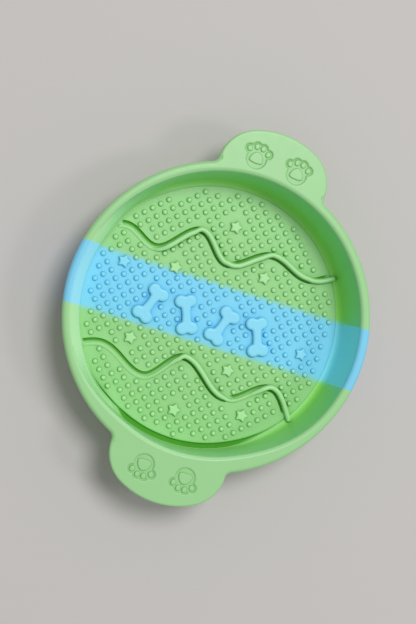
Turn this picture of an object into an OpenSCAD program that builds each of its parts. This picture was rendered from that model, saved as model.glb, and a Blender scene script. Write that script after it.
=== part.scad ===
// Slow feeder bowl for a dog: a round moulded bowl, a blue band across two green halves.
// Its licking floor has nubs, two wavy ridges, stars and bones, and two handles lift it.
// Millimetres. The origin is at the bottom centre, +Z is up and +Y points to the far handle.

/* [Bowl] */
// Radius of the rim at its widest
rim_r = 100; // [85:1:120]
// Height of the rim above the table
bowl_h = 42.5; // [34:0.5:52]
// Width of the rim, seen from above
rim_w = 7.6; // [7:0.2:9]
// Depth of the rim's lip, from its top to its underside
lip_h = 4.5; // [4:0.5:6]
// Radius of the rim's outer shoulder
shoulder_r = 3.5; // [2.5:0.5:4]
// Radius of the rim's inner edge
inner_edge_r = 3; // [1:0.2:3]
// Thickness of the side wall
wall_t = 3.5; // [2.5:0.5:5]
// How far the wall leans out between the gutter and the rim
wall_lean = 2.4; // [1.6:0.2:6]

/* [Floor] */
// Thickness of the licking floor
floor_t = 3; // [2.5:0.5:4]
// Width of the gutter between the floor and the wall
gutter_w = 4; // [3.5:0.5:6]
// Radius of the fillet between the gutter and the wall
gutter_r = 3; // [1:0.25:3.25]
// Depth of the gutter below the floor
gutter_d = 2.5; // [1.5:0.5:3]
// Radius of the floor's outer edge
floor_edge_r = 1.5; // [0.5:0.25:1.5]
// Height of the floor's underside above the table
foot_h = 4; // [3:0.5:5]
// Width of the foot ring
foot_w = 6; // [4:0.5:8]
// How far the foot ring stands in from the wall
foot_inset = 4.5; // [3:0.5:6]

/* [Colour band] */
// Width of the blue band
band_w = 41; // [34:1:50]
// Shift of the band's middle line towards the far handle
band_shift = 1.3; // [-5:0.1:5]
// Turn of the band and the floor pattern from the handles
band_turn = 3.3; // [-5:0.1:5]

/* [Handles] */
// How far a handle reaches past the rim
handle_reach = 24.5; // [20:0.5:30]
// Width of the far handle
handle_w = 73.5; // [68:0.5:85]
// How much wider the near handle is
near_handle_extra = 4; // [0:0.5:6]
// Turn of the near handle about the bowl's axis, from straight opposite the far one
near_handle_turn = 1.1; // [-3:0.1:3]
// Thickness of a handle
handle_t = 4; // [3:0.5:5]
// Radius of the handle's front edge
handle_front_r = 54; // [48:1:70]
// Radius of the handle's corners
handle_corner_r = 26; // [20:1:28]
// Radius of the fillets where a handle meets the rim
handle_root_r = 5; // [2:0.5:8]

/* [Paws] */
// Distance of a paw from the handle's middle line
paw_side = 14; // [12:0.5:18]
// Distance of a paw's middle from the rim
paw_out = 6; // [5:0.5:8]
// Depth of the paw's hollow
paw_d = 0.8; // [0.4:0.1:1.5]
// Height of the pads in the hollow
pad_h = 0.6; // [0.2:0.1:0.8]
// Radius of a toe pad
toe_r = 1.9; // [1.4:0.1:2]
// Radius of the heel pad's lobes
heel_r = 2.4; // [1.8:0.1:2.6]
// Distance of the heel pad's lobes from its middle
heel_spread = 2; // [1.5:0.1:2.4]
// Width of the hollow's margin around a toe pad
toe_margin = 1; // [0.5:0.1:1.5]
// Width of the hollow's margin around the heel pad
heel_margin = 1.9; // [1:0.1:2.2]

/* [Floor pattern] */
// Diameter of a nub
nub_d = 3.4; // [3:0.1:4.5]
// Height of a nub
nub_h = 1.7; // [1:0.1:2.2]
// Distance between neighbouring nubs
nub_pitch = 6.05; // [5:0.05:8]
// Clear floor around a nub
nub_clear = 0.9; // [0.3:0.1:2]
// Width of a wavy ridge
ridge_w = 3; // [2:0.25:5]
// Height of a wavy ridge
ridge_h = 3.75; // [2.5:0.25:5]
// Radius of a star, to its points
star_r = 4.6; // [3.5:0.1:6]
// Height of a star
star_h = 2; // [1:0.25:3]
// Length of a bone between its knobs' middles
bone_l = 18; // [14:1:24]
// Width of a bone's shaft
bone_w = 6.5; // [5:0.5:8]
// Radius of a bone's knobs
knob_r = 4.2; // [3.5:0.1:5]
// Height of a bone
bone_h = 3; // [1:0.25:4]
// Distance between bones
bone_pitch = 25; // [22:1:28]
// Lean of the bones, to the left and right in turn
bone_lean = 20; // [0:5:30]

/* [Suction cups] */
// Radius of a suction cup's lip
cup_r = 8; // [6:0.5:9]
// Thickness of a cup's skirt
cup_t = 1.2; // [0.8:0.1:1.6]
// Radius of a cup's stem
stem_r = 3.2; // [2.5:0.1:4]
// Distance between cups in a row
cup_pitch = 27; // [22:1:32]
// Distance between rows of cups
cup_row = 30; // [28:1:34]
// Clear space between the cups and the foot ring, at least
cup_clear = 3; // [1:0.5:5]

/* [Hidden] */
$fn = 64;
green = [0.56, 0.79, 0.50];
blue = [0.50, 0.82, 0.93];
over = 1;
arc_steps = 6;
wave_steps = 8;

inner_r = rim_r - rim_w;
wall_foot_r = inner_r - wall_lean;
floor_r = wall_foot_r - gutter_w;
floor_z = foot_h + floor_t;
gutter_z = floor_z - gutter_d;
foot_r = wall_foot_r + wall_t - foot_inset;
seat_r = rim_r - shoulder_r;
band_far = band_shift + band_w / 2;
band_near = band_shift - band_w / 2;
handle_z = bowl_h - handle_t;
near_handle_w = handle_w + near_handle_extra;

// Floor places are shares of the floor's radius, across and along, from the middle
far_ridge_turns = floor_r * [
    [-0.865, 0.467], [-0.82, 0.475], [-0.565, 0.375], [-0.26, 0.605],
    [0, 0.413], [0.335, 0.587], [0.64, 0.493], [0.80, 0.556]
];
near_ridge_turns = floor_r * [
    [-0.86, -0.473], [-0.735, -0.438], [-0.365, -0.588], [-0.095, -0.36],
    [0.29, -0.578], [0.63, -0.393], [0.80, -0.553]
];
far_star_places = floor_r * [[-0.015, 0.71], [0.315, 0.405], [-0.37, 0.275]];
band_star_places = floor_r * [[-0.76, 0.20], [0.775, -0.07]];
near_star_places = floor_r * [[0.26, -0.36], [-0.54, -0.34], [-0.05, -0.77], [0.47, -0.66]];
star_lean = 12;
star_points = 5;
star_waist = 0.58;
bone_mid = floor_r * [-0.035, -0.045];
bone_count = 4;
nub_turn = 44.25;
nub_phase = [-0.4, 0.32];

// Points on an arc, by its centre, radius and end angles
function arc(c, r, a0, a1, n = arc_steps) =
    [for (i = [0:n]) let(a = a0 + (a1 - a0) * i / n) c + r * [cos(a), sin(a)]];

// A list without its first item
function after_first(list) = [for (i = [1:len(list) - 1]) list[i]];

// Where two circles cross, on the right of the line from the first centre to the second
function crossing(c0, r0, c1, r1) =
    let(
        d = norm(c1 - c0),
        u = (c1 - c0) / d,
        along = (r0 * r0 - r1 * r1 + d * d) / (2 * d)
    ) c0 + along * u + sqrt(r0 * r0 - along * along) * [u.y, -u.x];

// Angle of a direction in the plane
function angle(v) = atan2(v.y, v.x);

// Distance from a point to the stretch between two others
function stretch_distance(p, a, b) =
    let(t = max(0, min(1, (p - a) * (b - a) / ((b - a) * (b - a))))) norm(p - a - t * (b - a));

// Distance from a point to a path
function path_distance(p, path) =
    min([for (i = [0:len(path) - 2]) stretch_distance(p, path[i], path[i + 1])]);

// Section through one side of the bowl, radius and height
bowl_section = concat(
    [[0, foot_h], [foot_r - foot_w, foot_h], [foot_r - foot_w, 0]],
    arc([foot_r, foot_inset], foot_inset, -90, 0),
    [[inner_r + wall_t, bowl_h - lip_h], [rim_r, bowl_h - lip_h]],
    arc([seat_r, bowl_h - shoulder_r], shoulder_r, 0, 90),
    arc([inner_r + inner_edge_r, bowl_h - inner_edge_r], inner_edge_r, 90, 180),
    arc([wall_foot_r - gutter_r, gutter_z + gutter_r], gutter_r, 0, -90),
    [[floor_r, gutter_z]],
    arc([floor_r - floor_edge_r, floor_z - floor_edge_r], floor_edge_r, 0, 90),
    [[0, floor_z]]
);

// Right half of a handle's outline, from the rim round to the front: fillet, corner, front edge
function handle_half(w) =
    let(
        front_c = [0, rim_r + handle_reach - handle_front_r],
        corner_x = w / 2 - handle_corner_r,
        corner_y = sqrt(pow(handle_front_r - handle_corner_r, 2) - pow(corner_x, 2)),
        corner_c = front_c + [corner_x, corner_y],
        root_c = crossing([0, 0], rim_r + handle_root_r, corner_c, handle_corner_r + handle_root_r)
    )
    concat(
        [(seat_r - over) * root_c / norm(root_c)],
        arc(root_c, handle_root_r, angle(root_c) + 180, angle(root_c - corner_c) + 180),
        after_first(arc(corner_c, handle_corner_r, angle(root_c - corner_c), angle(corner_c - front_c))),
        after_first(arc(front_c, handle_front_r, angle(corner_c - front_c), 90))
    );

// A handle's whole outline: its right half, then that half mirrored
function handle_outline(w) =
    let(half = handle_half(w))
    concat(half, [for (i = [len(half) - 2:-1:0]) [-half[i].x, half[i].y]]);

// Paw places on a handle, and its toes and heel lobes from the paw's middle
paw_y = rim_r + paw_out;
toe_places = [[-6.3, 2.3], [-2.1, 4.7], [2.1, 4.7], [6.3, 2.3]];
heel_mid = [0, -2.6];
heel_places = [for (a = [90, 210, 330]) heel_mid + heel_spread * [cos(a), sin(a)]];

// Middle lines of the wavy ridges: half a cosine wave between turns, a quarter of one to each end
function wave(turns, n = wave_steps) =
    let(last = len(turns) - 2)
    concat(
        [for (k = [0:last], i = [0:n - 1])
            let(
                a = turns[k],
                b = turns[k + 1],
                t = i / n,
                rise = k == 0 ? sin(90 * t) : k == last ? 1 - cos(90 * t) : (1 - cos(180 * t)) / 2
            )
            [a.x + (b.x - a.x) * t, a.y + (b.y - a.y) * rise]],
        [turns[last + 1]]
    );
far_wave = wave(far_ridge_turns);
near_wave = wave(near_ridge_turns);

// Middles and leans of the bones in their row, and a bone's knobs from its middle, along +Y
bone_mids = [for (i = [0:bone_count - 1]) bone_mid + [(i - (bone_count - 1) / 2) * bone_pitch, 0]];
bone_leans = [for (i = [0:bone_count - 1]) i % 2 == 0 ? -bone_lean : bone_lean];
knob_places = [for (x = [-1, 1], y = [-1, 1]) [x * bone_w, y * bone_l] / 2];

// Distance from a point to the edge of a bone at the origin, along +Y
function bone_distance(p) = min(
    stretch_distance(p, [0, -bone_l / 2], [0, bone_l / 2]) - bone_w / 2,
    min([for (k = knob_places) norm(p - k)]) - knob_r
);

// A point turned about the origin
function turned(p, a) = [p.x * cos(a) - p.y * sin(a), p.x * sin(a) + p.y * cos(a)];

// Distance from a point to the nearest bone in the row
function row_distance(p) =
    min([for (i = [0:bone_count - 1]) bone_distance(turned(p - bone_mids[i], -bone_leans[i]))]);

// Nub places: a square lattice on the floor that keeps clear of everything raised
nub_keep = nub_d / 2 + nub_clear;
nub_reach = floor_r - floor_edge_r - nub_keep;
nub_span = ceil(floor_r / nub_pitch);
star_places = concat(far_star_places, band_star_places, near_star_places);

function nub_fits(p) =
    norm(p) < nub_reach
    && path_distance(p, far_wave) > ridge_w / 2 + nub_keep
    && path_distance(p, near_wave) > ridge_w / 2 + nub_keep
    && min([for (s = star_places) norm(p - s)]) > star_r + nub_keep
    && row_distance(p) > nub_keep;

nub_places = [
    for (i = [-nub_span:nub_span], j = [-nub_span:nub_span])
        let(p = turned(nub_pitch * ([i, j] + nub_phase), nub_turn))
        if (nub_fits(p)) p
];
far_nub_places = [for (p = nub_places) if (p.y > band_far) p];
near_nub_places = [for (p = nub_places) if (p.y < band_near) p];

// Suction cup places, row by row, clear of the foot ring
cup_reach = foot_r - foot_w - cup_r - cup_clear;
function cup_places(rows) = [
    for (k = rows, i = [-3:3])
        let(p = [(i + abs(k % 2) / 2) * cup_pitch, band_shift + k * cup_row])
        if (norm(p) < cup_reach) p
];

// Everything on the floor and the colour band is turned together
module pattern() {
    rotate(band_turn) children();
}

// A slab across the bowl between two lines of the colour band
module slab(y0, y1) {
    pattern() translate([-2 * rim_r, y0, -over]) cube([4 * rim_r, y1 - y0, bowl_h + 2 * over]);
}

// Turns a handle's shapes from the far side to the near one
module on_near_side() {
    rotate(180 + near_handle_turn) children();
}

// A handle's block, from its seat in the rim to its front edge
module handle_block(w) {
    difference() {
        translate([0, 0, handle_z]) linear_extrude(handle_t) polygon(handle_outline(w));
        cylinder(r = seat_r, h = bowl_h + over);
    }
}

// The whole bowl, with a seat for each handle in its rim
module bowl() {
    difference() {
        rotate_extrude() polygon(bowl_section);
        handle_block(handle_w);
        on_near_side() handle_block(near_handle_w);
    }
}

// A paw's hollow, cut into a handle's top
module paw_hollow() {
    translate([0, 0, bowl_h - paw_d]) {
        for (p = toe_places) translate(p) cylinder(r = toe_r + toe_margin, h = paw_d + over);
        translate(heel_mid) cylinder(r = heel_spread + heel_r + heel_margin, h = paw_d + over);
    }
}

// A paw's pads, standing in the hollow
module paw_pads(side) {
    translate([side * paw_side, paw_y, bowl_h - paw_d]) {
        for (p = toe_places) translate(p) cylinder(r = toe_r, h = pad_h);
        for (p = heel_places) translate(p) cylinder(r = heel_r, h = pad_h);
    }
}

// A handle with its two paw hollows
module handle(w) {
    difference() {
        handle_block(w);
        for (side = [-1, 1]) translate([side * paw_side, paw_y, 0]) paw_hollow();
    }
}

// A round-topped ridge swept along a path on the floor
module ridge(path) {
    top_r = ridge_w / 2;
    section = concat([[-top_r, 0]], arc([0, ridge_h - top_r], top_r, 180, 0), [[top_r, 0]]);
    n = len(path);
    m = len(section);
    points = [
        for (i = [0:n - 1])
            let(
                d = path[min(i + 1, n - 1)] - path[max(i - 1, 0)],
                side = [d.y, -d.x] / norm(d)
            )
            for (q = section) [each path[i] + q.x * side, floor_z + q.y]
    ];
    sides = [
        for (i = [0:n - 2], k = [0:m - 1])
            let(a = i * m + k, b = i * m + (k + 1) % m)
            for (f = [[a, b, b + m], [a, b + m, a + m]]) f
    ];
    ends = [[for (k = [m - 1:-1:0]) k], [for (k = [0:m - 1]) (n - 1) * m + k]];
    polyhedron(points, concat(sides, ends));
}

// Round nubs standing on the floor
module nubs(places) {
    ball_r = (nub_d * nub_d / 4 + nub_h * nub_h) / (2 * nub_h);
    intersection() {
        for (p = places) translate([each p, floor_z + nub_h - ball_r]) sphere(ball_r);
        translate([-rim_r, -rim_r, floor_z]) cube([2 * rim_r, 2 * rim_r, bowl_h]);
    }
}

// Five-pointed stars standing on the floor
module stars(places) {
    outline = [
        for (i = [0:2 * star_points - 1])
            let(a = 180 * i / star_points, r = i % 2 == 0 ? star_r : star_waist * star_r)
            r * [cos(a), sin(a)]
    ];
    for (p = places) translate([each p, floor_z]) rotate(star_lean) linear_extrude(star_h) polygon(outline);
}

// One bone standing on the floor, along +Y
module bone() {
    linear_extrude(bone_h) {
        square([bone_w, bone_l], center = true);
        for (k = knob_places) translate(k) circle(knob_r);
    }
}

// Suction cups under the floor, each a stem with a thin hollow skirt
module suction_cups(places) {
    skirt_z = foot_h / 2;
    section = [
        [0, foot_h], [stem_r, foot_h], [stem_r, skirt_z], [cup_r, cup_t / 2], [cup_r, 0],
        [cup_r - cup_t / 2, 0], [stem_r, skirt_z - cup_t], [0, skirt_z - cup_t / 2]
    ];
    for (p = places) translate(p) rotate_extrude() polygon(section);
}

module far_green_body() {
    color(green) intersection() {
        bowl();
        slab(band_far, 2 * rim_r);
    }
}

module blue_band_body() {
    color(blue) intersection() {
        bowl();
        slab(band_near, band_far);
    }
}

module near_green_body() {
    color(green) intersection() {
        bowl();
        slab(-2 * rim_r, band_near);
    }
}

module far_handle() {
    color(green) handle(handle_w);
}

module near_handle() {
    color(green) on_near_side() handle(near_handle_w);
}

module far_wave_ridge() {
    color(green) pattern() ridge(far_wave);
}

module near_wave_ridge() {
    color(green) pattern() ridge(near_wave);
}

module far_outer_nubs() {
    color(green) pattern() nubs([for (p = far_nub_places) if (p.y > lookup(p.x, far_wave)) p]);
}

module far_inner_nubs() {
    color(green) pattern() nubs([for (p = far_nub_places) if (p.y < lookup(p.x, far_wave)) p]);
}

module blue_band_nubs() {
    color(blue) pattern() nubs([for (p = nub_places) if (p.y < band_far && p.y > band_near) p]);
}

module near_inner_nubs() {
    color(green) pattern() nubs([for (p = near_nub_places) if (p.y > lookup(p.x, near_wave)) p]);
}

module near_outer_nubs() {
    color(green) pattern() nubs([for (p = near_nub_places) if (p.y < lookup(p.x, near_wave)) p]);
}

module far_stars() {
    color(green) pattern() stars(far_star_places);
}

module blue_band_stars() {
    color(blue) pattern() stars(band_star_places);
}

module near_stars() {
    color(green) pattern() stars(near_star_places);
}

module bone_reliefs() {
    color(blue) pattern()
        for (i = [0:bone_count - 1]) translate([each bone_mids[i], floor_z]) rotate(bone_leans[i]) bone();
}

module far_left_paw_pads() {
    color(green) paw_pads(-1);
}

module far_right_paw_pads() {
    color(green) paw_pads(1);
}

module near_left_paw_pads() {
    color(green) on_near_side() paw_pads(1);
}

module near_right_paw_pads() {
    color(green) on_near_side() paw_pads(-1);
}

module far_suction_cups() {
    color(green) pattern() suction_cups(cup_places([1, 2]));
}

module blue_band_suction_cups() {
    color(blue) pattern() suction_cups(cup_places([0]));
}

module near_suction_cups() {
    color(green) pattern() suction_cups(cup_places([-1, -2]));
}

far_green_body();
blue_band_body();
near_green_body();
far_handle();
near_handle();
far_wave_ridge();
near_wave_ridge();
far_outer_nubs();
far_inner_nubs();
blue_band_nubs();
near_inner_nubs();
near_outer_nubs();
far_stars();
blue_band_stars();
near_stars();
bone_reliefs();
far_left_paw_pads();
far_right_paw_pads();
near_left_paw_pads();
near_right_paw_pads();
far_suction_cups();
blue_band_suction_cups();
near_suction_cups();
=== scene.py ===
import math

import bmesh
import bpy
import numpy as np
from mathutils import Matrix, Vector
from mathutils.geometry import delaunay_2d_cdt


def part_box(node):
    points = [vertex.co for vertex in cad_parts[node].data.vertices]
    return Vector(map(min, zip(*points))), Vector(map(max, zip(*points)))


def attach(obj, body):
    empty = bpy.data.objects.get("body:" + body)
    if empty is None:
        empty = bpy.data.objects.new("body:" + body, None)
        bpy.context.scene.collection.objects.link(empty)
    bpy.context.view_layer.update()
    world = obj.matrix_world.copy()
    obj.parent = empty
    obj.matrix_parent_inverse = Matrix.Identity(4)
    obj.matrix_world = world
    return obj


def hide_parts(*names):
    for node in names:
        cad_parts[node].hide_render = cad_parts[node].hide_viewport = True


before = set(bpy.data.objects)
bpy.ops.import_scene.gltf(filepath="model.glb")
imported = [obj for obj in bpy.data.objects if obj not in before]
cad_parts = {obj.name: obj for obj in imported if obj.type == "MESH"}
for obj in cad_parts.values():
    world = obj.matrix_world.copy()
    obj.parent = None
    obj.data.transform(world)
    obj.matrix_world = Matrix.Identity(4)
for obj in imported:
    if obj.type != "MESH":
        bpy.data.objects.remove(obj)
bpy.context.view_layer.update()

# The bowl: one soft silicone moulding in three shots, green, blue and green, cured into each other.
# Floor, gutter, wall and rim are one skin, a flat lifting tab grows out of the rim on each green
# side with two paw hollows pressed into its top, and a foot ring runs round below.
mm = 0.001


def cad_points(node):
    """The points of a CAD node's mesh, one row each, in metres."""
    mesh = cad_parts[node].data
    points = np.empty(len(mesh.vertices) * 3, np.float32)
    mesh.vertices.foreach_get("co", points)
    return points.reshape(-1, 3).astype(float)


rim_r = np.hypot(*cad_points("blue_band_body")[:, :2].T).max()
rim_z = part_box("blue_band_body")[1].z
floor_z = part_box("blue_band_nubs")[0].z
rim_w, lip_h = 7.6 * mm, 4.5 * mm
shoulder_r, inner_edge_r, lower_edge_r = 2.6 * mm, 2.5 * mm, 1.2 * mm
wall_t, wall_lean = 3.5 * mm, 2.4 * mm
gutter_w, gutter_d, gutter_r = 4 * mm, 2.2 * mm, 1.8 * mm
floor_edge_r, floor_foot_r, soft_edge_r = 1.2 * mm, 0.8 * mm, 1.8 * mm
foot_h, foot_w, foot_inset, foot_edge_r = 4 * mm, 6 * mm, 4.5 * mm, 0.8 * mm

inner_r = rim_r - rim_w
wall_foot_r = inner_r - wall_lean
floor_r = wall_foot_r - gutter_w
gutter_z = floor_z - gutter_d
foot_r = wall_foot_r + wall_t - foot_inset


def arc(centre, radius, start, stop, count):
    """Points on a circle round centre, at even steps from the start angle to the stop, in degrees."""
    angle = np.radians(np.linspace(start, stop, count))
    return np.asarray(centre) + radius * np.column_stack([np.cos(angle), np.sin(angle)])


# Seen from above, each half of the outline runs along the rim, out round a tab and along the rim
# again. The near tab is a little wider than the far one and sits a little to the right.
tab_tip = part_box("far_handle")[1].y
tab_under_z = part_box("far_handle")[0].z
far_tab_w, near_tab_w = 73.5 * mm, 77.5 * mm
tab_front_r, tab_corner_r, tab_root_r = 54 * mm, 26 * mm, 5 * mm
tab_edge_r, tab_rise = 1.3 * mm, 8 * mm
near_tab_turn = math.radians(1.1)
rim_steps, root_steps, corner_steps, front_steps = 60, 14, 50, 60


def direction(v):
    """Angle of a flat vector, in degrees."""
    return math.degrees(math.atan2(v[1], v[0]))


def turned(points, angle):
    """Flat points turned about the origin."""
    cos, sin = math.cos(angle), math.sin(angle)
    return points @ np.array([[cos, sin], [-sin, cos]])


def tab_outline(width):
    """A tab's outline from its right root to its left one, and the outward normals along it: an arc of
    the root's fillet, one round the corner and one along the front, then all three mirrored."""
    front_c = np.array([0, tab_tip - tab_front_r])
    corner_x = width / 2 - tab_corner_r
    corner_c = front_c + [corner_x, math.sqrt((tab_front_r - tab_corner_r) ** 2 - corner_x**2)]
    far = np.linalg.norm(corner_c)
    to_corner = corner_c / far
    root_reach, corner_reach = rim_r + tab_root_r, tab_corner_r + tab_root_r
    along = (root_reach**2 - corner_reach**2 + far**2) / (2 * far)
    aside = math.sqrt(root_reach**2 - along**2)
    root_c = along * to_corner + aside * np.array([to_corner[1], -to_corner[0]])
    root_way, corner_way = direction(root_c - corner_c), direction(corner_c - front_c)
    root = arc(root_c, tab_root_r, direction(root_c) + 180, root_way + 180, root_steps)
    corner = arc(corner_c, tab_corner_r, root_way, corner_way, corner_steps)[1:]
    front = arc(front_c, tab_front_r, corner_way, 90, front_steps)[1:]
    half = np.concatenate([root, corner, front])
    normals = np.concatenate([root_c - root, corner - corner_c, front - front_c])
    normals /= np.linalg.norm(normals, axis=1)[:, None]
    return [np.concatenate([side, (side * [-1, 1])[-2::-1]]) for side in (half, normals)]


def half_round(width, turn):
    """Half of the bowl's outline, from +X round the far side to -X: points, outward normals and the
    angles of the rays that carry the rest of the bowl. Along a tab the angles share out its length."""
    tab, normals = (turned(points, turn) for points in tab_outline(width))
    start, stop = direction(tab[0]), direction(tab[-1])
    right_angles = np.linspace(0, start, rim_steps)[:-1]
    left_angles = np.linspace(stop, 180, rim_steps)[1:-1]
    along = np.concatenate([[0], np.cumsum(np.linalg.norm(np.diff(tab, axis=0), axis=1))])
    angles = np.concatenate([right_angles, start + (stop - start) * along / along[-1], left_angles])
    right, left = (
        np.column_stack([np.cos(np.radians(part)), np.sin(np.radians(part))])
        for part in (right_angles, left_angles)
    )
    points = np.concatenate([rim_r * right, tab, rim_r * left])
    return points, np.concatenate([right, normals, left]), np.radians(angles)


far_half, near_half = half_round(far_tab_w, 0), half_round(near_tab_w, near_tab_turn)
outline, outward = (np.concatenate([far, -near]) for far, near in zip(far_half[:2], near_half[:2]))
ray_angle = np.concatenate([far_half[2], near_half[2] + np.pi])
ray = np.column_stack([np.cos(ray_angle), np.sin(ray_angle)])


def ease(t):
    """Smooth step from 0 to 1: three t squared less two t cubed, held at both ends."""
    t = np.clip(t, 0, 1)
    return t * t * (3 - 2 * t)


on_tab = ease((np.linalg.norm(outline, axis=1) - rim_r) / tab_rise)
edge_r = shoulder_r + (tab_edge_r - shoulder_r) * on_tab
under_z = rim_z - lip_h + (tab_under_z - rim_z + lip_h) * on_tab

# The paw hollows: four round toes and a round heel on each side of a tab, toes outwards
paw_mid = np.array([14 * mm, rim_r + 6 * mm])
paw_d, paw_soft = 0.9 * mm, 0.8 * mm
toe_places = np.array([[-6.3, 2.3], [-2.1, 4.7], [2.1, 4.7], [6.3, 2.3]]) * mm
heel_place = np.array([0, -2.6 * mm])
toe_hollow_r, heel_hollow_r = 3.0 * mm, 6.6 * mm


def hollow_depth(xy):
    """Depth of the paw hollows at points seen from above: full inside a circle, easing out over its
    edge. Points on the near side are turned to the far one, and its two paws are mirror images."""
    on_far_side = np.where(xy[..., 1:] < 0, -turned(xy, -near_tab_turn), xy)
    local = np.stack([np.abs(on_far_side[..., 0]), on_far_side[..., 1]], axis=-1) - paw_mid
    toes = np.linalg.norm(local[..., None, :] - toe_places, axis=-1).min(-1) - toe_hollow_r
    heel = np.linalg.norm(local - heel_place, axis=-1) - heel_hollow_r
    return paw_d * ease(0.5 - np.minimum(toes, heel) / paw_soft)


def turned_rows(section):
    """Rows of a turned surface: each point of the section, radius and height, carried along the rays.
    The section may change from ray to ray."""
    if section.ndim == 2:
        section = np.repeat(section[:, None], len(ray), axis=1)
    return np.dstack([section[..., :1] * ray, section[..., 1:]])


def spanned_rows(start, end, shares, z):
    """Rows between two closed lines seen from above, at shares of the way across, at height z."""
    flat = start + np.asarray(shares)[:, None, None] * (end - start)
    return np.dstack([flat, np.broadcast_to(z, flat.shape[:2])])


def edge_rows(radius, angles, z_of):
    """Rows round an outer edge: set in from the outline by radius times one less the sine of the angle."""
    flat = outline - outward * (radius * (1 - np.sin(angles)[:, None]))[..., None]
    return np.dstack([flat, z_of(angles[:, None])])


# Inside there are three sections, which pass into each other round the bowl. The first, on the right
# and far side, is a straight wall with a broad fillet down to the floor's rounded edge.
ring_inset, soft_end, soft_step = 1.5 * mm, 58, 0.3 * mm
fillet_out, fillet_h, fillet_sag, plain_edge_out = 0.5 * mm, 6 * mm, 0.2 * mm, 3.5 * mm
floor_ring = np.array([[floor_r - ring_inset, floor_z]])
soft_c = (floor_r - soft_edge_r * math.cos(math.radians(soft_end)), floor_z - soft_edge_r)
soft_edge = arc(soft_c, soft_edge_r, 90, soft_end, 8)
plain_foot = soft_edge[-1] + [soft_step, 0]
fillet_end = np.array([wall_foot_r + fillet_out, floor_z + fillet_h])
fillet_pull = np.array([wall_foot_r, plain_foot[1]]) - fillet_sag
bend = np.linspace(0, 1, 13)[:, None]
plain_fillet = (1 - bend) ** 2 * plain_foot + 2 * bend * (1 - bend) * fillet_pull + bend**2 * fillet_end
plain_edge = arc((inner_r + plain_edge_out, rim_z - inner_edge_r), inner_edge_r, 180, 90, 9)
plain_section = np.concatenate([
    floor_ring,
    soft_edge,
    plain_fillet,
    np.linspace(fillet_end, plain_edge[0], 9)[1:-1],
    plain_edge,
])

# The second, on the near side, is a steeper wall with a crescent of a gutter at its foot
near_inset, near_wall_in, near_edge_in = 1.3 * mm, 1.6 * mm, 0.7 * mm
gutter_middle, gutter_span, gutter_fade = 274, 64, 42
near_floor_r, near_wall_r = floor_r - near_inset, wall_foot_r - near_wall_in
near_edge = arc((inner_r - near_edge_in, rim_z - inner_edge_r), inner_edge_r, 180, 90, 9)
gutter_section = np.concatenate([
    floor_ring - [near_inset, 0],
    arc((near_floor_r - floor_edge_r, floor_z - floor_edge_r), floor_edge_r, 90, 0, 8),
    arc((near_floor_r + floor_foot_r, gutter_z + floor_foot_r), floor_foot_r, 180, 270, 6),
    arc((near_wall_r - gutter_r, gutter_z + gutter_r), gutter_r, 270, 360, 9),
    np.linspace([near_wall_r, gutter_z + gutter_r], near_edge[0], 7)[1:-1],
    near_edge,
])

# The third, on the left, has a broad bevel under the rim and a floor that reaches further out
left_reach, bevel_out, bevel_w, bevel_drop = 2.4 * mm, 4.2 * mm, 5.7 * mm, 4.2 * mm
bevel_r, bevel_foot_r, bevel_inward = 2.8 * mm, 2.5 * mm, np.array([0.71, -0.71])
bevel_middle, bevel_span, bevel_fade = 205, 80, 40
bevel_top = arc((inner_r + bevel_out, rim_z - bevel_r), bevel_r, 128, 90, 9)
bevel_low = bevel_top[0] - [bevel_w, bevel_drop]
bevel_turn = arc(bevel_low + bevel_foot_r * bevel_inward, bevel_foot_r, 176, 135, 6)
bevel_section = np.concatenate([
    floor_ring + [left_reach, 0],
    soft_edge + [left_reach, 0],
    np.linspace(plain_foot + [left_reach, 0], bevel_turn[0], 9)[:-1],
    bevel_turn,
    np.linspace(bevel_turn[-1], bevel_top[0], 7)[1:],
    bevel_top,
])


def share_round(middle, span, fade):
    """A share for each ray: 1 near the middle angle, easing to 0 at the span to both sides, in degrees."""
    away = np.abs((np.degrees(ray_angle) - middle + 180) % 360 - 180)
    return ease((span - away) / fade)[:, None]


inside = plain_section[:, None]
on_left = share_round(bevel_middle, bevel_span, bevel_fade)
inside = inside + on_left * (bevel_section[:, None] - inside)
on_near = share_round(gutter_middle, gutter_span, gutter_fade)
inside = inside + on_near * (gutter_section[:, None] - inside)

# Then the skin runs over the top, with rows close enough for the paw hollows, round the outer edge and
# down to the foot ring and the flat underside of the floor
top_shares = np.concatenate([[0.02], np.linspace(0.04, 0.85, 66), np.linspace(0.88, 1, 5)])
under_shares = [0.25, 0.5, 0.75, 0.95, 1]
wall_shares = np.array([0.015, 0.05, 0.3, 0.6, 0.9])
base_rings = np.array([78, 60, 40, 20, 0]) * mm
rim_inside = inside[-1, :, :1] * ray
top = spanned_rows(rim_inside, outline - outward * edge_r[:, None], top_shares, rim_z)
top[..., 2] -= hollow_depth(top[..., :2])
shoulder = edge_rows(
    edge_r, np.radians(np.linspace(0, 90, 9))[1:], lambda a: rim_z - edge_r * (1 - np.cos(a))
)
lower_edge = edge_rows(
    lower_edge_r * np.ones(len(ray)),
    np.radians(np.linspace(90, 0, 6)),
    lambda a: under_z + lower_edge_r * (1 - np.cos(np.pi / 2 - a)),
)
outer_r = inner_r + wall_t
underside = spanned_rows(lower_edge[-1, :, :2], outer_r * ray, under_shares, under_z)
outside = turned_rows(np.column_stack([outer_r - wall_lean * wall_shares, wall_shares]))
outside[..., 2] = under_z + (foot_inset - under_z) * wall_shares[:, None]
below = turned_rows(np.concatenate([
    arc((foot_r, foot_inset), foot_inset, 0, -90, 9),
    arc((foot_r - foot_w + foot_edge_r, foot_edge_r), foot_edge_r, 270, 180, 6),
    arc((foot_r - foot_w - foot_edge_r, foot_h - foot_edge_r), foot_edge_r, 0, 90, 6),
    np.column_stack([base_rings, np.full(len(base_rings), foot_h)]),
]))
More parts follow.
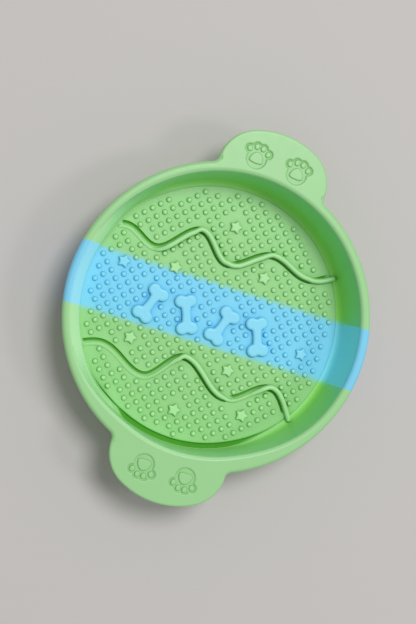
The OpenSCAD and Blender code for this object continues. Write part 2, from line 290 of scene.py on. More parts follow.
skin = np.concatenate([turned_rows(inside), top, shoulder, lower_edge, underside, outside, below])

# A narrow groove runs in the floor beside each wavy ridge: on its far side along the first fall
# and each rise, and on its near side along the later falls. First its section, across the ridge's line
groove_in, groove_out, far_groove_d, near_groove_d = 0.5 * mm, 2.4 * mm, 1.6 * mm, 1.15 * mm
far_slope, far_step, near_step, near_slope = 2.9 * mm, 0.4 * mm, 0.15 * mm, 1.0 * mm
half_groove = np.array([0, 0.35, 0.45, 0.55, 0.8, 1.1, 1.4, 1.6, 1.8, 2.0, 2.15, 2.3, 2.45, 2.6]) * mm
# Then its course along the line, which counts as level towards 21 degrees from +X
ridge_steps, ridge_passes, level_tol = 260, 10, 0.001 * mm
groove_margin, groove_run_on, groove_start, groove_end = 0.1 * mm, 8 * mm, 0.8 * mm, 3 * mm
level_way, full_rise, crest_run_on = math.radians(21), 0.25, 5 * mm
# And where the ridge is low, which widens the far groove
grow_before, grow_span, low_groove = 4 * mm, 12 * mm, 0.6 * mm
low_lead, low_blend, low_on_rises = 5 * mm, 6, {"far_wave_ridge": 0.0, "near_wave_ridge": 0.85}


def ridge_line(node, run_on):
    """The middle line of a CAD ridge: its highest points in order, run on at both ends, resampled
    at even steps and smoothed by averaging each point with its neighbours."""
    points = cad_points(node)
    tops = points[points[:, 2] > points[:, 2].max() - level_tol, :2]
    crest = np.unique(np.round(tops, 7), axis=0)
    ends = [crest[0] - crest[1], crest[-1] - crest[-2]]
    first, last = (length * end / np.linalg.norm(end) for length, end in zip(run_on, ends))
    crest = np.concatenate([[crest[0] + first], crest, [crest[-1] + last]])
    along = np.concatenate([[0], np.cumsum(np.linalg.norm(np.diff(crest, axis=0), axis=1))])
    steps = np.linspace(0, along[-1], ridge_steps)
    line = np.column_stack([np.interp(steps, along, crest[:, axis]) for axis in (0, 1)])
    for _ in range(ridge_passes):
        line[1:-1] = (line[:-2] + 2 * line[1:-1] + line[2:]) / 4
    return line, steps


def beside(line):
    """The unit normals of a line, on its left as it runs."""
    heading = np.gradient(line, axis=0)
    return np.column_stack([-heading[:, 1], heading[:, 0]]) / np.linalg.norm(heading, axis=1)[:, None]


def groove_side(node, line):
    """Which side of a ridge's line its groove is on, from 1, far, to -1, near, and how far the ridge has
    grown to its full height. The side is the line's rise over the full one, held at 1 before the first
    trough. The ridge grows from 0 to 1 round that trough. The near one is low on its rises too, by the
    side averaged over some steps and taken a little ahead."""
    heading = turned(np.gradient(line, axis=0), -level_way)
    rise = heading[:, 1] / np.linalg.norm(heading, axis=1)
    trough = np.flatnonzero((rise[:-1] < 0) & (rise[1:] >= 0))[0]
    side = np.clip(rise / full_rise, -1, 1)
    side[: trough + np.argmax(side[trough:])] = 1
    along = np.cumsum(np.linalg.norm(np.gradient(line, axis=0), axis=1))
    grown = ease((along - along[trough] + grow_before) / grow_span)
    around = np.ones(2 * low_blend + 1) / (2 * low_blend + 1)
    rising = np.convolve(np.pad(ease(side), low_blend, mode="edge"), around, mode="valid")
    rising = np.interp(along + low_lead, along, rising)
    return side, (grown * (1 - low_on_rises[node] * rising))[:, None]


def groove_grid(node):
    """A groove's section carried along a ridge's middle line. On the far side its outer wall is steep, and
    on the near side its inner one, and the other wall slopes. Along the line the depth follows the
    groove's side, and it eases to nothing at both ends, so that all of the grid's rim lies in the
    floor. The far groove is wider where the ridge is low, and runs on past each crest."""
    line, steps = ridge_line(node, (groove_run_on, groove_run_on))
    across = np.concatenate([-half_groove[:0:-1], half_groove])
    near_depth = ease((groove_in - across) / near_step) * ease((across + groove_out) / near_slope)
    flat = line[:, None] + beside(line)[:, None] * across[:, None]
    way = np.arctan2(flat[..., 1], flat[..., 0])
    ring_r = np.interp(way, ray_angle, inside[0, :, 0], period=2 * np.pi)
    on_floor = (np.linalg.norm(flat, axis=2) < ring_r - groove_margin).all(axis=1)
    line, steps, flat = line[on_floor], steps[on_floor], flat[on_floor]
    side, grown = groove_side(node, line)
    far_in = groove_in + (1 - grown) * low_groove
    far_depth = ease((across + far_in) / far_slope) * ease((groove_out - across) / far_step)
    far_share = ease(np.maximum(side, np.interp(steps - crest_run_on, steps, side)))[:, None]
    near_share = ease(-side)[:, None]
    run_out = ease((steps - steps[0]) / groove_start) * ease((steps[-1] - steps) / groove_end)
    depth = np.maximum(far_groove_d * far_share * far_depth, near_groove_d * near_share * near_depth)
    depth *= run_out[:, None]
    return np.dstack([flat, floor_z - depth])


grooves = [groove_grid("far_wave_ridge"), groove_grid("near_wave_ridge")]
inside_faces, sheet_tol = 1, 1e-9


def floor_sheet():
    """The flat floor inside the innermost ring of the skin, less the outlines of the grooves: points
    and triangles, from a constrained triangulation."""
    rims = [np.concatenate([g[:, 0], g[-1, 1:], g[-2::-1, -1], g[0, -2:0:-1]]) for g in grooves]
    loops = [skin[0]] + rims
    ends = np.cumsum([0] + [len(loop) for loop in loops])
    outlines = [list(range(start, stop)) for start, stop in zip(ends, ends[1:])]
    flat = [Vector(point) for point in np.concatenate(loops)[:, :2]]
    points, _, triangles, _, _, owners = delaunay_2d_cdt(flat, [], outlines, inside_faces, sheet_tol)
    kept = [triangle for triangle, owner in zip(triangles, owners) if owner == [0]]
    return [(*point, floor_z) for point in points], kept


def ring_faces(rows, columns):
    """Four-cornered faces between neighbouring closed rows of points, as index numbers."""
    row, column = np.meshgrid(np.arange(rows - 1), np.arange(columns), indexing="ij")
    here, after = row * columns + column, row * columns + (column + 1) % columns
    return np.stack([here, here + columns, after + columns, after], axis=-1).reshape(-1, 4)


def strip_faces(rows, columns):
    """Four-cornered faces between neighbouring open rows of points, as index numbers."""
    row, column = np.meshgrid(np.arange(rows - 1), np.arange(columns - 1), indexing="ij")
    here = row * columns + column
    return np.stack([here, here + columns, here + columns + 1, here + 1], axis=-1).reshape(-1, 4)


# The shots meet in two straight lines across the bowl, turned a little from the tabs
band_turn = math.radians(3.3)
band_far, band_near = 21.8 * mm, -19.2 * mm
band_across = Vector((-math.sin(band_turn), math.cos(band_turn), 0))


class Socket:
    """A shader socket on which Python arithmetic adds Math nodes to the same material."""

    def __init__(self, tree, socket=None):
        self.tree = tree
        self.socket = socket

    def node(self, kind, settings=None, sockets=None, output=0):
        """Adds a node of that kind, sets its settings, fills or links its sockets, gives one output."""
        made = self.tree.nodes.new(kind)
        for key, value in (settings or {}).items():
            setattr(made, key, value)
        for key, value in (sockets or {}).items():
            if isinstance(value, Socket):
                self.tree.links.new(value.socket, made.inputs[key])
            else:
                made.inputs[key].default_value = value
        return Socket(self.tree, made.outputs[output])

    def other(self, output):
        """Another output of the node that this socket is on."""
        return Socket(self.tree, self.socket.node.outputs[output])

    def math(self, operation, first, second=0.0, clamp=False):
        """Adds a Math node on two values or sockets."""
        settings = {"operation": operation, "use_clamp": clamp}
        return self.node("ShaderNodeMath", settings, {0: first, 1: second})

    def __add__(self, value):
        return self.math("ADD", self, value)

    __radd__ = __add__

    def __sub__(self, value):
        return self.math("SUBTRACT", self, value)

    def __rsub__(self, value):
        return self.math("SUBTRACT", value, self)

    def __mul__(self, value):
        return self.math("MULTIPLY", self, value)

    __rmul__ = __mul__

    def __truediv__(self, value):
        return self.math("DIVIDE", self, value)

    def clamped(self):
        """The value held between 0 and 1."""
        return self.math("ADD", self, 0.0, clamp=True)


def linear(red, green, blue):
    """A screen colour from 0 to 255 as the linear colour that a shader takes, by the sRGB curve: straight
    near black, then a power of 2.4."""
    screen = np.array([red, green, blue]) / 255
    return (*np.where(screen < 0.04045, screen / 12.92, ((screen + 0.055) / 1.055) ** 2.4), 1.0)


# The two colours: plain, on the floor, as a painted highlight on raised parts, as painted shade and
# bounce light at the wall's foot and its top on the right, as painted light on the left wall, and as
# painted shade in hollows
green_silicone, blue_silicone = linear(156, 211, 146), linear(122, 206, 238)
floor_green, floor_blue = linear(155, 214, 141), linear(128, 216, 246)
highlight_green, highlight_blue = linear(174, 229, 162), linear(138, 220, 250)
shaded_foot_green, shaded_foot_blue = linear(148, 232, 104), linear(134, 236, 254)
shaded_wall_green, shaded_wall_blue = linear(124, 220, 140), linear(128, 236, 254)
lit_wall_green, lit_wall_blue = linear(184, 237, 177), linear(160, 234, 254)
hollow_shade_green, hollow_shade_blue = linear(70, 156, 28), linear(10, 160, 220)
# Where each of these begins, and over what height or width it comes in
hollow_reach, hollow_start, hollow_gain = 5 * mm, 0.82, 2.0
raised_start, raised_span = 0.7 * mm, 0.9 * mm
deep_start, deep_span, wall_deep = 0.5 * mm, 0.8 * mm, 0.5 * mm
seam_fade, wall_top, wall_span, lit_wall_fade = 0.6 * mm, rim_z - 1.5 * mm, 2.5 * mm, 0.7 * mm
right_gain, right_base = 0.4, 0.6
# The bowl's inside lies above its underside and within a line through the wall, which leans out
inside_r, inside_lean, inside_fade = wall_foot_r + 1.6 * mm, 5.2 * mm, 0.3 * mm
above_z = foot_h + 0.1 * mm
# How softly the two shots meet on the rim and on the floor
rim_feather, floor_feather, feather_wander, wander_scale = 0.3 * mm, 5.5 * mm, 0.8 * mm, 150.0
feather_top, feather_rise = floor_z + 10 * mm, 6 * mm
# The surface: slow and fine drift of tone, drift of gloss, and the grain of the mould
cloud_scale, speck_scale, tone_drift = 22.0, 900.0, 0.05
gloss_scale, gloss_drift, skin_roughness, sunk_roughness = 120.0, 0.12, 0.33, 0.4
fine_scale, coarse_scale, fine_share, coarse_share = 3500.0, 500.0, 0.6, 0.4
grain_strength, grain_depth, skin_specular = 0.25, 0.06 * mm, 0.32


def silicone(name, bleed=0.0, walls=1.0):
    """Matte silicone, blue between the band's two lines and green outside them. The change is sharp on
    the rim and the wall, and feathered and a little wavy on the floor, where the shots ran into each
    other. Bleed is how far the green runs on into the band, and walls of 0 leaves out the painted shade
    and light on the wall. Both colours are a little fuller on the floor. Light and shade are painted
    into the colour as well: a paler painted highlight on raised parts, painted light on the left of the
    wall, painted shade and bounce light on the wall, fuller and yellower at its foot and mostly on its
    far right, and the deepest painted shade in hollows and grooves, which are also dullest. Colour and
    gloss drift slowly, over a fine dull grain."""
    material = bpy.data.materials.new(name)
    material.use_nodes = True
    shader = material.node_tree.nodes["Principled BSDF"]
    make = Socket(material.node_tree)
    place = make.node("ShaderNodeTexCoord", output="Object")

    def noise(scale, detail=2.0):
        """Soft noise from 0 to 1 over the object, finer at a larger scale."""
        return make.node("ShaderNodeTexNoise", sockets={"Vector": place, "Scale": scale, "Detail": detail})

    x = make.node("ShaderNodeSeparateXYZ", sockets={0: place})
    y, z = x.other("Y"), x.other("Z")
    across = y * band_across.y + x * band_across.x
    loose = ((feather_top - z) / feather_rise).clamped()
    wander = (noise(wander_scale) - 0.5) * loose * (2 * feather_wander)
    feather = loose * (floor_feather - rim_feather) + rim_feather
    far_green = ((across + wander - (band_far - bleed)) / feather + 0.5).clamped()
    near_green = ((wander - across + (band_near + bleed)) / feather + 0.5).clamped()
    green = (far_green + near_green).clamped()
    green = green * green * (3 - 2 * green)

    def mixed(share, first, second):
        """The first colour at a share of 0, the second at 1."""
        return make.node("ShaderNodeMix", {"data_type": "RGBA"}, {0: share, 6: first, 7: second}, output=2)

    def both(blue, green_colour):
        """The blue in the band and the green outside it."""
        return mixed(green, blue, green_colour)

    radius = make.math("POWER", x * x + y * y, 0.5)
    up_wall = ((z - floor_z) / (rim_z - floor_z)).clamped()
    within = ((up_wall * up_wall * inside_lean + inside_r - radius) / inside_fade).clamped()
    within = within * ((z - above_z) / inside_fade).clamped()
    # The side of the wall in shade, towards the far right: 1 there, falling to near 0 on the near left. It
    # steers the painted shade and bounce light on the wall, and its opposite steers the painted light
    shaded_side = ((x + y) / radius * right_gain + right_base).clamped()
    wall_line = (1 - shaded_side) * left_reach + floor_r
    walled = within * ((radius - wall_line) / seam_fade).clamped() * walls
    # Painted shade and bounce light: the wall below the rim takes a fuller colour, mostly on its shaded
    # far right
    wall_shade = walled * ((wall_top - z) / wall_span).clamped() * shaded_side
    on_floor = within - walled
    outer = within * ((radius - floor_r) / seam_fade).clamped() * walls
    # Below the floor, in the grooves and the gutter, the colour takes painted shade and the gloss turns
    # duller
    sunk = within * ((floor_z - deep_start - outer * wall_deep - z) / deep_span).clamped()
    # Painted shade: where ambient occlusion finds the surface closed in, round nubs, ridges and motifs but
    # not on the wall, the colour deepens
    open_sky = make.node("ShaderNodeAmbientOcclusion", {"samples": 4}, {"Distance": hollow_reach}, "AO")
    hollow = ((hollow_start - open_sky) * hollow_gain).clamped() * (1 - outer)
    # The painted shade and bounce colour of the wall, fuller and yellower at its foot, from its foot up
    wall_shade_colour = mixed(up_wall, both(shaded_foot_blue, shaded_foot_green), both(shaded_wall_blue, shaded_wall_green))
    # Painted highlight: raised parts on the floor take a paler colour towards their tops
    raised = on_floor * ((z - floor_z - raised_start) / raised_span).clamped()
    colour = mixed(on_floor, both(blue_silicone, green_silicone), both(floor_blue, floor_green))
    colour = mixed(raised, colour, both(highlight_blue, highlight_green))
    # Painted light: the wall away from its shaded far right, mostly the bevel on the left, is paler up to
    # the rim's top
    pale = walled * (1 - shaded_side) * ((rim_z - z) / lit_wall_fade).clamped()
    colour = mixed(pale, colour, both(lit_wall_blue, lit_wall_green))
    colour = mixed(wall_shade, colour, wall_shade_colour)
    # Painted shade: hollows and grooves take the deepest colour
    colour = mixed(make.math("MAXIMUM", hollow, sunk), colour, both(hollow_shade_blue, hollow_shade_green))
    drift = 1 + (noise(cloud_scale) - 0.5) * tone_drift + (noise(speck_scale) - 0.5) * tone_drift
    tone = make.node("ShaderNodeHueSaturation", sockets={"Value": drift, "Color": colour})
    roughness = skin_roughness + (noise(gloss_scale, 3.0) - 0.5) * gloss_drift + sunk * sunk_roughness
    grain = noise(fine_scale, 1.0) * fine_share + noise(coarse_scale, 1.0) * coarse_share
    grain_sockets = {"Strength": grain_strength, "Distance": grain_depth, "Height": grain}
    bump = make.node("ShaderNodeBump", sockets=grain_sockets)
    shader.inputs["Specular IOR Level"].default_value = skin_specular
    make.tree.links.new(tone.socket, shader.inputs["Base Color"])
    make.tree.links.new(roughness.socket, shader.inputs["Roughness"])
    make.tree.links.new(bump.socket, shader.inputs["Normal"])
    return material


def finished(name, mesh, material, slot, *nodes):
    """Puts a mesh into the scene as a smooth piece that stands for those CAD nodes."""
    mesh.polygons.foreach_set("use_smooth", np.ones(len(mesh.polygons), bool))
    mesh.materials.append(material)
    piece = bpy.data.objects.new(name, mesh)
    bpy.context.scene.collection.objects.link(piece)
    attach(piece, "root")
    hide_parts(*nodes)


skin_material = silicone("two_colour_silicone")
whole_points, whole_faces = [], []
sheet_points, sheet_faces = floor_sheet()
for points, faces in (
    (skin.reshape(-1, 3), ring_faces(*skin.shape[:2])),
    (np.array(sheet_points), sheet_faces),
    *((groove.reshape(-1, 3), strip_faces(*groove.shape[:2])) for groove in grooves),
):
    whole_faces += [[corner + len(whole_points) for corner in face] for face in faces]
    whole_points += points.tolist()
whole_mesh = bpy.data.meshes.new("whole_bowl")
whole_mesh.from_pydata(whole_points, [], whole_faces)
weld_reach = 0.002 * mm


def cut_shot(name, slot, nodes, low=None, high=None):
    """The part of the bowl between two lines of the band, its cut faces closed and their edges sharp."""
    shot = bmesh.new()
    shot.from_mesh(whole_mesh)
    bmesh.ops.remove_doubles(shot, verts=shot.verts, dist=weld_reach)
    for line, keep_above in ((low, True), (high, False)):
        if line is None:
            continue
        bmesh.ops.bisect_plane(
            shot,
            geom=shot.verts[:] + shot.edges[:] + shot.faces[:],
            plane_co=band_across * line,
            plane_no=band_across,
            clear_inner=keep_above,
            clear_outer=not keep_above,
        )
        rim_of_cut = [edge for edge in shot.edges if edge.is_boundary]
        bmesh.ops.edgeloop_fill(shot, edges=rim_of_cut)
        for edge in rim_of_cut:
            edge.smooth = False
    bmesh.ops.recalc_face_normals(shot, faces=shot.faces)
    mesh = bpy.data.meshes.new(name)
    shot.to_mesh(mesh)
    shot.free()
    finished(name, mesh, skin_material, slot, *nodes)


cut_shot("far_green_bowl", "green_silicone", ["far_green_body", "far_handle"], low=band_far)
cut_shot("blue_band_bowl", "blue_silicone", ["blue_band_body"], low=band_near, high=band_far)
cut_shot("near_green_bowl", "green_silicone", ["near_green_body", "near_handle"], high=band_near)

# The nubs: small soft domes moulded on the licking floor in even rows, each with a fillet at its
# foot. Near the band's lines the green ones run on a little into the blue.
nub_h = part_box("blue_band_nubs")[1].z - floor_z
nub_r, nub_sides, nub_fillet, nub_sink = 1.7 * mm, 12, 0.2 * mm, 0.5 * mm


def solid_middles(node):
    """The middle of each separate solid in a CAD node. Equal points are welded, then each triangle
    passes the lowest label of its corners on to them until no label changes."""
    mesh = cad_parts[node].data
    mesh.calc_loop_triangles()
    corners = np.empty(len(mesh.loop_triangles) * 3, np.int32)
    mesh.loop_triangles.foreach_get("vertices", corners)
    welded, number = np.unique(np.round(cad_points(node), 7), axis=0, return_inverse=True)
    triangles = number.ravel()[corners].reshape(-1, 3)
    label = np.arange(len(welded))
    while True:
        passed = label.copy()
        np.minimum.at(passed, triangles, label[triangles].min(axis=1, keepdims=True))
        if np.array_equal(passed, label):
            break
        label = passed
    owner = np.unique(label, return_inverse=True)[1].ravel()
    low = np.full((owner.max() + 1, 3), np.inf)
    high = -low
    np.minimum.at(low, owner, welded)
    np.maximum.at(high, owner, welded)
    return (low + high) / 2


def standing_mesh(name, rings, places):
    """Copies of one closed shape: rings of points from its foot to its top, counter-clockwise from
    above, joined by four-cornered faces, with a flat face over the first ring and the last."""
    count, sides = rings.shape[:2]
    points = places[:, None, None, :] + rings
    starts = np.arange(len(places))[:, None, None] * (count * sides)
    quads = (starts + ring_faces(count, sides)[:, ::-1]).reshape(-1, 4)
    lids = np.array([np.arange(sides)[::-1], (count - 1) * sides + np.arange(sides)])
    lids = (starts + lids).reshape(-1, sides)
    mesh = bpy.data.meshes.new(name)
    mesh.from_pydata(points.reshape(-1, 3), [], quads.tolist() + lids.tolist())
    return mesh


def turned_rings(section, sides):
    """Rings of a round shape: each point of the section, radius and height, carried round its axis."""
    circle = arc((0, 0), 1, 0, 360 - 360 / sides, sides)
    return np.dstack([section[:, 0, None, None] * circle, np.repeat(section[:, 1:], sides, axis=1)])


nub_foot = np.array([[nub_r + nub_fillet, -nub_sink], [nub_r + nub_fillet, 0]])
nub_dome = np.array([[1, 0.2], [0.93, 0.6], [0.68, 0.9], [0.28, 1]]) * [nub_r, nub_h]
nub_section = np.concatenate([nub_foot, nub_dome])
nub_rings = turned_rings(nub_section, nub_sides)
nub_bleed = 1.2 * mm
nub_material = silicone("nub_silicone", nub_bleed)
for zone, slot in (
    ("far_outer_nubs", "green_silicone"),
    ("far_inner_nubs", "green_silicone"),
    ("blue_band_nubs", "blue_silicone"),
    ("near_inner_nubs", "green_silicone"),
    ("near_outer_nubs", "green_silicone"),
):
    nub_places = solid_middles(zone) * [1, 1, 0] + [0, 0, floor_z]
    nub_mesh = standing_mesh(zone + "_soft", nub_rings, nub_places)
    finished(zone + "_soft", nub_mesh, nub_material, slot, zone)

# The wavy ridges: two low rounded walls moulded on the floor, one in each green half. Each starts low
# at the left, has a fillet on both sides and runs out in a blunt nose at the floor's edge.
ridge_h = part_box("far_wave_ridge")[1].z - floor_z
ridge_r, ridge_fillet, ridge_sink, ridge_nose = 1.6 * mm, 0.25 * mm, 2.2 * mm, 1.8 * mm
ridge_shift, low_shift, low_height, low_width = 1.0 * mm, 0.9 * mm, 0.07, 0.6
ridge_flare = np.array([[1, 0], [0.3, 0.5], [0, 2]]) * ridge_fillet
nose_least = 0.02


def ridge_rings(node, run_on):
    """A ridge's section carried along its middle line, set over to the side away from the groove, and
    lower, narrower and further over where the ridge is not full grown. Near each end the section
    shrinks along a quarter circle, like a round nose."""
    line, steps = ridge_line(node, run_on)
    side, grown = groove_side(node, line)
    crown = arc((0, ridge_h - ridge_r), ridge_r, 0, 180, 9)
    foot = np.concatenate([[[ridge_r + ridge_fillet, -ridge_sink]], ridge_flare + [ridge_r, 0]])
    section = np.concatenate([foot, crown, (foot * [-1, 1])[::-1]])
    to_end = np.minimum(steps, steps[-1] - steps) / ridge_nose
    swell = np.sqrt(np.clip(1 - (1 - np.clip(to_end, nose_least, 1)) ** 2, 0, 1))[:, None]
    middle = -side[:, None] * ridge_shift - (1 - grown) * low_shift
    width = swell * (low_width + (1 - low_width) * grown)
    flat = line[:, None] + beside(line)[:, None] * (middle + section[:, 0] * width)[..., None]
    rise = swell * (low_height + (1 - low_height) * grown)
    height = floor_z + np.where(section[:, 1] > 0, section[:, 1] * rise, section[:, 1])
    return np.dstack([flat, height])


ridge_material = silicone("ridge_silicone", walls=0.0)
for ridge, run_on in (
    ("far_wave_ridge", (2.6 * mm, 5.5 * mm)),
    ("near_wave_ridge", (2.6 * mm, 6.0 * mm)),
):
    ridge_mesh = standing_mesh(ridge + "_soft", ridge_rings(ridge, run_on), np.zeros((1, 3)))
    finished(ridge + "_soft", ridge_mesh, ridge_material, "green_silicone", ridge)

# The stars: nine puffy five-pointed stars scattered over the floor, moulded with it, their points
# and edges well rounded. A green one that lies on the band's line is green all over.
star_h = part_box("blue_band_stars")[1].z - floor_z
star_r, star_tip, star_waist, star_lean = 4.6 * mm, 1.08, 0.6, math.radians(12)
star_soft, star_edge, star_fillet, star_steps = 0.6 * mm, 1.2 * mm, 0.1 * mm, 90
motif_sink, flare_share, lid_share = 0.5 * mm, 0.25, 1.35


def soft_outline(corners, count, softness):
    """A closed line through the corners, sampled at even steps, its corners rounded by a bell-shaped
    average along it that is softness wide."""
    closed = np.concatenate([corners, corners[:1]])
    along = np.concatenate([[0], np.cumsum(np.linalg.norm(np.diff(closed, axis=0), axis=1))])
    steps = np.arange(count) * along[-1] / count
    line = np.column_stack([np.interp(steps, along, closed[:, axis]) for axis in (0, 1)])
    waves = np.fft.fftfreq(count, along[-1] / count)
    keep = np.exp(-2 * (np.pi * waves * softness) ** 2)
    return np.fft.ifft(np.fft.fft(line, axis=0) * keep[:, None], axis=0).real


def raised_rings(line, height, edge, fillet, middle=None):
    """Rings of a raised flat motif: its outline, moved in or out along its normals, or where a middle
    is given straight towards that. It flares at the foot, stands up, and rounds over into the top
    along a quarter circle of radius edge. The last ring lies on the flat top, a little further in."""
    heading = np.roll(line, -1, axis=0) - np.roll(line, 1, axis=0)
    out = np.column_stack([heading[:, 1], -heading[:, 0]]) / np.linalg.norm(heading, axis=1)[:, None]
    if middle is not None:
        out = (line - middle) / np.linalg.norm(line - middle, axis=1).mean()
    over = np.radians(np.linspace(0, 90, 6))
    flare = [fillet, fillet, flare_share * fillet]
    moves = np.concatenate([flare, edge * (np.cos(over) - 1), [-lid_share * edge]])
    heights = np.concatenate([[-motif_sink, 0, fillet / 2], height - edge + edge * np.sin(over), [height]])
    flat = line + out * moves[:, None, None]
    return np.dstack([flat, np.repeat(heights[:, None], len(line), axis=1)])


star_angles = np.radians(np.arange(0, 360, 36))
star_radii = star_r * np.where(np.arange(10) % 2 == 0, star_tip, star_waist)
star_corners = star_radii[:, None] * np.column_stack([np.cos(star_angles), np.sin(star_angles)])
star_line = turned(soft_outline(star_corners, star_steps, star_soft), star_lean + band_turn)
star_rings = raised_rings(star_line, star_h, star_edge, star_fillet, (0, 0))


def star_middles(node, count):
    """The middles of a CAD node's stars: each solid's box leans to one side, so the nearest of the
    node's flat top points are averaged instead."""
    points = cad_points(node)
    tops = points[points[:, 2] > points[:, 2].max() - level_tol, :2]
    tops = np.unique(np.round(tops, 6), axis=0)
    near = np.linalg.norm(tops[:, None] - solid_middles(node)[None, :, :2], axis=2).argmin(axis=1)
    flat = np.array([tops[near == star].mean(axis=0) for star in range(count)])
    return np.column_stack([flat, np.full(count, floor_z)])


star_bleed = 6 * mm
green_star_material = silicone("green_star_silicone", star_bleed)
for group, count, material, slot in (
    ("far_stars", 3, green_star_material, "green_silicone"),
    ("blue_band_stars", 2, skin_material, "blue_silicone"),
    ("near_stars", 4, green_star_material, "green_silicone"),
):
    star_mesh = standing_mesh(group + "_soft", star_rings, star_middles(group, count))
    finished(group + "_soft", star_mesh, material, slot, group)

# The bones: four plump bones raised in a row along the blue band, moulded with its floor. Each is flat
# on top with rounded edges and a slightly waisted neck, and they lean to and fro by turns.
bone_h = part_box("bone_reliefs")[1].z - floor_z
bone_l, bone_w, knob_r, bone_lean = 18 * mm, 6.5 * mm, 4.2 * mm, math.radians(20)
neck_in, bone_soft, bone_edge, bone_fillet = 0.4 * mm, 0.5 * mm, 1.5 * mm, 0.15 * mm
knob_steps, neck_steps, bone_steps = 24, 15, 220
knob_c = np.array([bone_w, bone_l]) / 2
knob_corner = arc(knob_c, knob_r, -90, 130, knob_steps)
half_neck = bone_l / 2 - knob_r
neck_y = np.linspace(half_neck, -half_neck, neck_steps)[1:-1]
neck = np.column_stack([neck_in * np.cos(neck_y / half_neck * np.pi / 2) - bone_w / 2, neck_y])
bone_corners = np.concatenate([
    knob_corner,
    (knob_corner * [-1, 1])[::-1],
    neck,
    knob_corner * [-1, -1],
    (knob_corner * [1, -1])[::-1],
    -neck,
])
bone_line = soft_outline(bone_corners, bone_steps, bone_soft)
left_bone, right_bone = (
    raised_rings(turned(bone_line, band_turn + lean), bone_h, bone_edge, bone_fillet)
    for lean in (-bone_lean, bone_lean)
)
bone_places = solid_middles("bone_reliefs") * [1, 1, 0] + [0, 0, floor_z]
bone_places = bone_places[np.argsort(bone_places[:, 0])]
bone_meshes = [
    standing_mesh("bone", bone_rings, place[None])
    for place, bone_rings in zip(bone_places, (left_bone, right_bone, left_bone, right_bone))
]


def joined_mesh(name, meshes):
    """One mesh that holds the others side by side, which are then removed."""
    together = bmesh.new()
    for mesh in meshes:
        together.from_mesh(mesh)
        bpy.data.meshes.remove(mesh)
    whole = bpy.data.meshes.new(name)
    together.to_mesh(whole)
    together.free()
    return whole


bone_mesh = joined_mesh("bone_reliefs_soft", bone_meshes)
finished("bone_reliefs_soft", bone_mesh, skin_material, "blue_silicone", "bone_reliefs")

# The paw pads: four toes and a heel stand in each paw hollow, moulded with the tab and level with its
# top. All four paws are alike, and those of the near tab point the other way.
pad_h, pad_edge, pad_fillet = 0.9 * mm, 0.8 * mm, 0.1 * mm
toe_half_w, toe_half_l, heel_soft, heel_steps = 1.75 * mm, 2.0 * mm, 1.5 * mm, 72
toe_line = arc((0, 0), 1, 0, 345, 24) * [toe_half_w, toe_half_l]
toe_turns = np.radians([24, 8, -8, -24])
heel_corners = np.array([[5.2, -2.6], [3.6, 2.6], [0, 5.0], [-3.6, 2.6], [-5.2, -2.6], [0, -3.2]]) * mm
heel_line = soft_outline(heel_corners, heel_steps, heel_soft)
pads = [(turned(toe_line, angle) + place, place) for angle, place in zip(toe_turns, toe_places)]
pads.append((heel_line + heel_place, heel_place))
pad_foot = np.array([[0, 0, rim_z - paw_d]])
for side, turn, left in (("far", 0, -1), ("near", np.pi + near_tab_turn, 1)):
    for hand, sign in (("left", left), ("right", -left)):
        paw = f"{side}_{hand}_paw_pads"
        paw_place = paw_mid * [sign, 1]
        pad_meshes = []
        for line, middle in pads:
            line, middle = (turned(points + paw_place, turn) for points in (line, middle))
            pad_rings = raised_rings(line, pad_h, pad_edge, pad_fillet, middle)
            pad_meshes.append(standing_mesh("pad", pad_rings, pad_foot))
        paw_mesh = joined_mesh(paw + "_soft", pad_meshes)
        finished(paw + "_soft", paw_mesh, skin_material, "green_silicone", paw)

# The suction cups: rows of short stems with a thin hollow skirt, moulded under the floor in its own
# colour. They hold the bowl to the table.
cup_r, cup_t, stem_r, cup_sides = 8 * mm, 1.2 * mm, 3.2 * mm, 36
skirt_z, crown_r, crown_rise = foot_h / 2, 0.4 * mm, 0.45 * cup_t
lip_r, lip_in, lip_lift = cup_t / 4, 0.6 * cup_t, 0.05 * mm
back_in, back_z = 0.3 * cup_t, 0.6 * cup_t
stem_fillet = np.array([[0.2, 0.3], [0, 0.9]]) * mm
stem_flare = 0.8 * mm
cup_section = np.concatenate([
    [[crown_r, skirt_z - cup_t + crown_rise]],
    np.linspace([stem_r, skirt_z - cup_t], [cup_r - lip_in, lip_lift], 5),
    arc((cup_r - lip_r, lip_r), lip_r, 270, 400, 5),
    np.linspace([cup_r - back_in, back_z], [stem_r + stem_flare, skirt_z], 5),
    stem_fillet + [stem_r, skirt_z],
    [[stem_r, foot_h + motif_sink]],
])
cup_rings = turned_rings(cup_section, cup_sides)
for group, slot in (
    ("far_suction_cups", "green_silicone"),
    ("blue_band_suction_cups", "blue_silicone"),
    ("near_suction_cups", "green_silicone"),
):
    cup_mesh = standing_mesh(group + "_soft", cup_rings, solid_middles(group) * [1, 1, 0])
    finished(group + "_soft", cup_mesh, skin_material, slot, group)

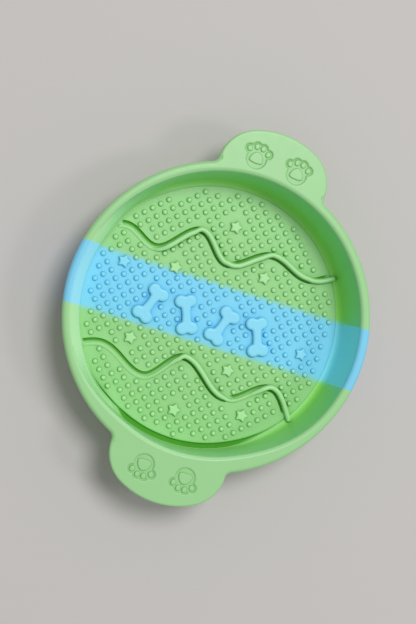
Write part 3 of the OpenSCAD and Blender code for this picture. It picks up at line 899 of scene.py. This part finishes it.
# The setting: a pale grey floor, a large soft lamp high over the far side, a small weak one from the
# right, an even sky, and the camera almost straight above.
floor_half, floor_colour, floor_roughness = 2.5, linear(198, 195, 193), 0.9
sky_colour, sky_strength = (1.0, 0.99, 0.98, 1.0), 0.385
floor_mesh = bpy.data.meshes.new("floor")
floor_corners = [(x * floor_half, y * floor_half, 0) for x, y in ((-1, -1), (1, -1), (1, 1), (-1, 1))]
floor_mesh.from_pydata(floor_corners, [], [(0, 1, 2, 3)])
floor_paint = bpy.data.materials.new("floor_paint")
floor_paint.use_nodes = True
floor_shader = floor_paint.node_tree.nodes["Principled BSDF"]
floor_shader.inputs["Base Color"].default_value = floor_colour
floor_shader.inputs["Roughness"].default_value = floor_roughness
floor_mesh.materials.append(floor_paint)
floor = bpy.data.objects.new("floor", floor_mesh)
bpy.context.scene.collection.objects.link(floor)

middle = Vector((0, 0, rim_z / 2))


def soft_lamp(name, azimuth, height, away, size, energy):
    """A round soft lamp that faces the bowl's middle, at an azimuth and a height in degrees."""
    azimuth, height = math.radians(azimuth), math.radians(height)
    data = bpy.data.lights.new(name, "AREA")
    data.shape, data.size, data.energy = "DISK", size, energy
    lamp = bpy.data.objects.new(name, data)
    flat = math.cos(height)
    way = Vector((math.cos(azimuth) * flat, math.sin(azimuth) * flat, math.sin(height)))
    lamp.location = middle + away * way
    lamp.rotation_euler = way.to_track_quat("Z", "Y").to_euler()
    bpy.context.scene.collection.objects.link(lamp)


soft_lamp("main_lamp", azimuth=76, height=69, away=3.5, size=1.4, energy=68)
soft_lamp("side_lamp", azimuth=8, height=50, away=2.5, size=0.5, energy=7)

world = bpy.data.worlds.new("sky")
bpy.context.scene.world = world
world.use_nodes = True
sky = world.node_tree.nodes["Background"]
sky.inputs["Color"].default_value = sky_colour
sky.inputs["Strength"].default_value = sky_strength

camera_place = Vector((-0.16717, -0.02512, 0.95402))
camera_right = Vector((0.919427, 0.354422, 0.170409))
camera_up = Vector((-0.353821, 0.934661, -0.034927))
camera_back = camera_right.cross(camera_up)
focal_px, frame_px, film = 1455.2, 624, 36
camera_data = bpy.data.cameras.new("camera")
camera_data.lens = focal_px * film / frame_px
camera_data.sensor_width = film
camera = bpy.data.objects.new("camera", camera_data)
camera.matrix_world = Matrix((camera_right, camera_up, camera_back)).transposed().to_4x4()
camera.location = camera_place
bpy.context.scene.collection.objects.link(camera)
bpy.context.scene.camera = camera
bpy.context.scene.view_settings.view_transform = "Standard"
